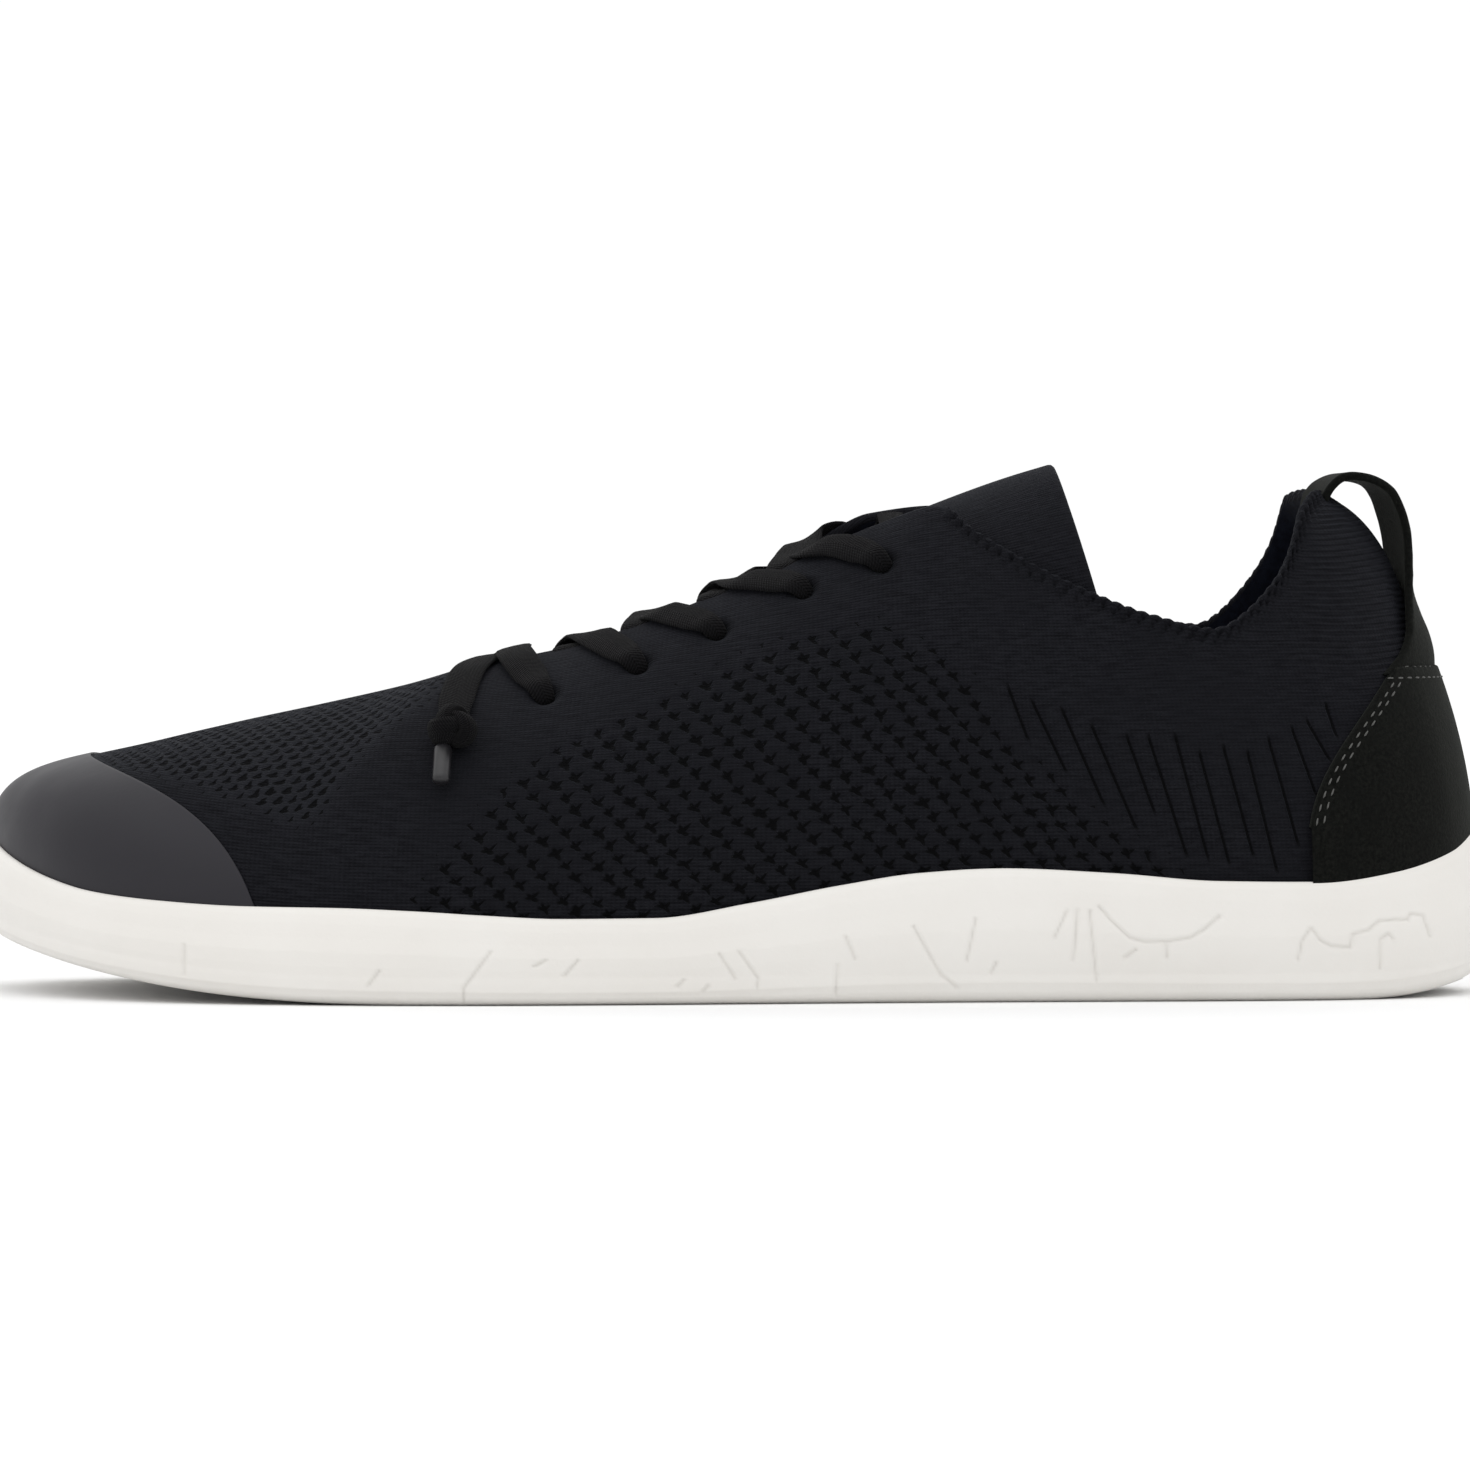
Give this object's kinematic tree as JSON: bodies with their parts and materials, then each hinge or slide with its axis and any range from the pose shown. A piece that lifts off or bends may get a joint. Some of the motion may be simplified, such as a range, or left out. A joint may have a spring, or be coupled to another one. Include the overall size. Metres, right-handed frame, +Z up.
{
  "type": "barefoot shoe",
  "caption": "Low left running shoe with a hollow knitted upper, toe cap, heel counter, pull loop, tongue, crossed flat lace and a thin flexible cup sole with a wide toe.",
  "frame": {"origin": "on the ground, under the middle of the sole's outline", "axes": "-X towards the toe, +X towards the heel, -Y towards the outer (lateral) side, +Y towards the inner (medial) side, +Z up"},
  "size_m": [0.2895, 0.1098, 0.1007],
  "materials": {
    "white_rubber": "matte, fine grain, engraved lines on its side",
    "black_knit": "knitted polyester with open and ribbed zones",
    "lining": "soft knit",
    "toe_film": "smooth satin film",
    "suede": "short napped microfibre with grey stitches",
    "lace": "flat woven tape",
    "lace_tip": "satin"
  },
  "bodies": {
    "root": {"sole": "white_rubber", "upper": "black_knit", "footbed": "lining", "tongue": "black_knit", "toe_cap": "toe_film", "heel_counter": "suede", "pull_loop": "suede", "lace_crossing_1": "lace", "lace_crossing_2": "lace", "lace_crossing_3": "lace", "lace_crossing_4": "lace", "lace_bar": "lace", "lace_end_outer": "lace", "lace_end_inner": "lace", "lace_knot_outer": "lace", "lace_knot_inner": "lace", "aglet_outer": "lace_tip", "aglet_inner": "lace_tip"}
  },
  "joints": []
}
